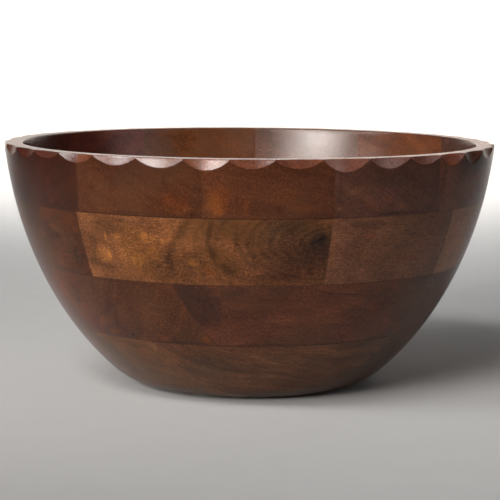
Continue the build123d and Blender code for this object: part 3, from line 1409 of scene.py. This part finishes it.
RIM_LOOKS = {
    "rim_right_board": Board(
        (0.1300, 0.0420, 0.0240), pith=(30, -100), rings=0.4, inner=(0.42, 0.5, 0.58),
        marks={
            Tint.DARK: [
                # The marks at heights 150 and 146 darken the wall and scoops towards the brim: painted
                # shade
                (48, 134, 3.5, 17, 0.45), (60, 119.5, 6, 3.4, 0.6), (64, 150, 75, 20, 0.45, 0, 0.2),
                (66, 146, 40, 12, 0.6, 0, 0.2),
            ],
            # The cool mark at a height of 146 dulls the scoops towards the brim: painted shade
            Tint.COOL: [(49, 123, 5, 8, 0.4), (62, 146, 40, 12, 0.8, 0, 0.2)],
            Tint.PALE: [(56, 129, 10, 8, 0.2)],
        },
    ),
    "rim_mid_right_front": Board(
        (0.0816, 0.0304, 0.0191), pith=(-30, 60), ring_gap=4, rings=0.7, cast=(0.0800, 0.0320, 0.0130),
        glue=(0.6, 0),
        marks={
            Tint.COOL: [(33, 137, 18, 7, 0.5)],
            Tint.DARK: [
                (19.6, 135, 2.2, 14, 0.4), (36, 118.4, 28, 1.2, 0.9), (20, 118.3, 2.5, 1.4, 0.6),
                # The mark at a height of 150 darkens the wall towards the brim: painted shade
                (45, 121, 5, 3, 0.35), (32, 150, 60, 20, 0.45, 0, 0.2),
            ],
            Tint.GOLDEN: [(23, 132, 3.5, 8, 0.4, -70), (19.9, 122.5, 2.2, 1.6)],
            Tint.ORANGE: [(27.5, 124, 9, 3.2, 0.55, -38), (35.5, 122.5, 5, 1.6, 0.6)],
            Tint.RED: [(32, 127.5, 6, 1.8, 0.8, -10)],
        },
    ),
    "rim_mid_right_back": Board((0.1118, 0.0394, 0.0169), pith=(-30, 60), inner=(0.9, 0.78, 0.65)),
    "rim_centre_front": Board(
        (0.0720, 0.0205, 0.0072), pith=(10, -70), ring_gap=3.6, rings=0.5, mottle=0.4,
        cast=(0.0800, 0.0320, 0.0130), glue=(0.8, 0),
        marks={
            Tint.ORANGE: [
                (-6.6, 128, 9.5, 13, 0.6, 0, 0.5, 0.6), (-0.6, 124, 2.4, 7, 0.5), (12, 123, 9, 4.5, 0.3),
            ],
            Tint.GOLDEN: [(-7, 125, 7, 9.5, 0.6, 0, 0.5, 0.7)],
            Tint.DARK: [
                # The mark at a height of 150 darkens the wall towards the brim: painted shade
                (-2.6, 127, 1, 7, 0.45), (6.5, 122.5, 3.4, 4, 0.65), (4, 150, 40, 22, 0.55, 0, 0.2),
            ],
            Tint.COOL: [(17.8, 133, 1.5, 14, 0.4)],
        },
    ),
    "rim_centre_back": Board((0.1043, 0.0477, 0.0299), pith=(10, -70)),
    "rim_mid_left_front": Board(
        (0.0575, 0.0164, 0.0056), pith=(0, 190), ring_gap=3, rings=0.55, fibre=0.8, mottle=0.4,
        cast=(0.0800, 0.0320, 0.0130), glue=(0.6, 0),
        marks={
            Tint.ORANGE: [(-28, 127, 32, 10, 0.3), (-16, 125, 12, 9, 0.8)],
            Tint.DARK: [
                (-49, 132, 20, 26, 0.75), (-18.4, 138, 1, 5, 0.6), (-28, 118.6, 14, 1.4, 0.5),
                # The mark at a height of 150 darkens the wall towards the brim: painted shade
                (-12.5, 119.5, 3.5, 2.6, 0.55), (-26, 150, 60, 20, 0.45, 0, 0.2),
            ],
            Tint.GOLDEN: [(-14, 121, 7, 4, 0.3), (-33, 120, 12, 3, 0.25)],
        },
    ),
    "rim_mid_left_back": Board((0.1002, 0.0279, 0.0065), pith=(0, 190)),
    "rim_left_board": Board(
        (0.0300, 0.0065, 0.0026), pith=(-60, -80), ring_gap=4, rings=0.5, cast=(0.0500, 0.0150, 0.0055),
        inner=(3.5, 3, 3.6),
        marks={
            # The mark at a height of 150 darkens the wall towards the brim: painted shade
            Tint.DARK: [(-63, 126, 9, 14, 0.4), (-60, 150, 90, 20, 0.45, 0, 0.2)],
            Tint.COOL: [(-64, 119, 11, 4, 0.4)],
        },
    ),
}


@dataclass
class ServingBowl:
    """The whole bowl: four courses of glued blocks."""

    form: BowlForm = field(default_factory=BowlForm)

    def build(self) -> None:
        """Make the courses from the table up."""
        slots = {part["node"]: part["material_slot"] for part in frame["record"]["subparts"]}
        base_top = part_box("base_front_board")[1].z
        lower_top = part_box("lower_front_board")[1].z
        upper_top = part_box("upper_segment_1")[1].z
        levels = (0, base_top, lower_top, upper_top, self.form.height)
        layouts = (
            (BaseCourse, BASE_LOOKS, {"grain": 22, "seams": (-0.0685, -0.003, 0.061)}),
            (ParallelCourse, LOWER_LOOKS, {"grain": 30, "seams": (-0.0875, -0.022, 0.043, 0.092)}),
            (MitredCourse, UPPER_LOOKS, {"joints": (-42.4, 18.6, 54.5, 120.0, 186.0, 252.0)}),
            (RimCourse, RIM_LOOKS, {"grain": 84, "seams": (-0.119, -0.062, 0.0105, 0.085)}),
        )
        for low, high, (course, looks, layout) in zip(levels, levels[1:], layouts):
            course(self.form, low, high, looks, slots, **layout).build()


# ---- the studio


WARM: Colour = (1.0, 0.95, 0.91)


@dataclass(frozen=True)
class Softbox:
    """A soft rectangular lamp that faces a point.

    Args:
        name: Its name.
        bearing: Plan bearing of the lamp from the bowl.
        elevation: Its elevation, in degrees.
        distance: Distance from the point it faces.
        size: Width and height.
        power: Power in watts.
        target: The point it faces.
        spread: How wide its light fans out, in degrees.
        colour: Its colour.
    """

    name: str
    bearing: float
    elevation: float
    distance: float
    size: tuple[float, float]
    power: float
    target: Place = (0, 0, 0.09)
    spread: float = 180.0
    colour: Colour = (1, 1, 1)

    def build(self) -> None:
        """Hang the lamp."""
        rise = math.radians(self.elevation)
        out = Vector(as_point(math.cos(rise), math.sin(rise), self.bearing))
        bpy.ops.object.light_add(type="AREA", location=Vector(self.target) + out * self.distance)
        lamp = bpy.context.object
        lamp.name = self.name
        lamp.rotation_euler = out.to_track_quat("Z", "Y").to_euler()
        lamp.data.shape = "RECTANGLE"
        lamp.data.size, lamp.data.size_y = self.size
        lamp.data.energy = self.power
        lamp.data.spread = math.radians(self.spread)
        lamp.data.color = self.colour


@dataclass
class Studio:
    """A pale floor that sweeps up behind, soft lamps and the camera."""

    floor_width: float = 9.0
    floor_front: float = -3.0
    floor_back: float = 3.2
    wall_height: float = 3.0
    sweep: float = 1.0
    sweep_facets: int = 24
    floor_colour: Colour = (0.52, 0.52, 0.515)
    fill: float = 0.02
    camera_away: float = 1.1753
    camera_height: float = 0.2282
    pitch: float = 7.10
    yaw: float = -0.0375
    roll: float = 0.41
    lens: float = 135.39
    lamps: tuple[Softbox, ...] = (
        Softbox("key_high", -34, 50, 1.6, (1.3, 0.36), 1.25, spread=42),
        Softbox("key_side", -72, 28, 1.6, (0.5, 0.36), 0.5, spread=40),
        Softbox("key_middle", -34, 25, 1.6, (1.35, 0.3), 1.1, spread=42, colour=WARM),
        Softbox("glint_strip", -38, 12, 1.6, (0.95, 0.14), 1.3, spread=44, colour=WARM),
        Softbox("front_right", 66, 20, 2.0, (1.4, 1.0), 0.36, spread=50),
        Softbox("back_right", 150, 30, 2.0, (1.0, 1.0), 0.25, spread=50),
        Softbox("floor_lamp", 0, 90, 2.0, (1.0, 1.0), 7.0, (0, 1.3, 0), 50),
        Softbox("backdrop_lamp", 0, 60, 2.2, (3.0, 0.8), 70.0, (0, 2.6, 0.6), 90, (1.0, 0.89, 0.81)),
    )

    def build(self) -> None:
        """Set up floor, lamps, world and camera."""
        self.lay_floor()
        for lamp in self.lamps:
            lamp.build()
        world = bpy.data.worlds.new("studio_air")
        world.use_nodes = True
        air = world.node_tree.nodes["Background"]
        air.inputs["Color"].default_value = (1, 1, 1, 1)
        air.inputs["Strength"].default_value = self.fill
        bpy.context.scene.world = world
        bpy.context.scene.view_settings.view_transform = "Standard"
        self.place_camera()

    def lay_floor(self) -> None:
        """Lay the paper: a floor that curves up into a backdrop."""
        bpy.ops.object.select_all(action="DESELECT")
        bpy.ops.mesh.primitive_plane_add(size=1)
        paper = bpy.context.object
        paper.name = "studio_paper"
        half = self.floor_width / 2
        for vertex in paper.data.vertices:
            vertex.co.x = half if vertex.co.x > 0 else -half
            vertex.co.y = self.floor_back if vertex.co.y > 0 else self.floor_front
        pick_edges(paper, lambda edge: all(paper.data.vertices[end].co.y > 0 for end in edge.vertices))
        bpy.ops.mesh.extrude_region_move(TRANSFORM_OT_translate={"value": (0, 0, self.wall_height)})
        bpy.ops.object.mode_set(mode="OBJECT")
        bend = paper.modifiers.new("sweep", "BEVEL")
        bend.width = self.sweep
        bend.segments = self.sweep_facets
        bend.limit_method = "ANGLE"
        select_only(paper)
        bpy.ops.object.modifier_apply(modifier="sweep")
        bpy.ops.object.shade_smooth_by_angle(angle=math.radians(30))
        wires = Wiring("studio_paper")
        spot = wires.node("ShaderNodeTexCoord", output="Object")
        fleck = wires.noise(spot, 40, 2)
        tone = wires.remap(fleck, 0.3, 0.7, 0.985, 1.0)
        shade = wires.mix(1.0, (*self.floor_colour, 1), tone, "MULTIPLY")
        surface = wires.node("ShaderNodeBsdfPrincipled", {"Base Color": shade, "Roughness": 0.9})
        surface.node.inputs["Specular IOR Level"].default_value = 0.2
        paper.data.materials.append(wires.finish(surface))

    def place_camera(self) -> None:
        """Stand the camera in front of the bowl, a little above its rim."""
        bpy.ops.object.camera_add(location=(0, -self.camera_away, self.camera_height))
        camera = bpy.context.object
        turn = Matrix.Rotation(math.radians(self.yaw), 3, "Z")
        tip = Matrix.Rotation(math.radians(90 - self.pitch), 3, "X")
        roll = Matrix.Rotation(math.radians(self.roll), 3, "Z")
        camera.rotation_euler = (turn @ tip @ roll).to_euler()
        camera.data.lens = self.lens
        camera.data.sensor_width = 36
        camera.data.clip_start = 0.05
        bpy.context.scene.camera = camera


def main() -> None:
    """Build the bowl and its studio, logging each block's face count."""
    logging.basicConfig(level=logging.INFO, format="%(message)s")
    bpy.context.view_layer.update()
    ServingBowl().build()
    Studio().build()


if __name__ == "__main__":
    main()
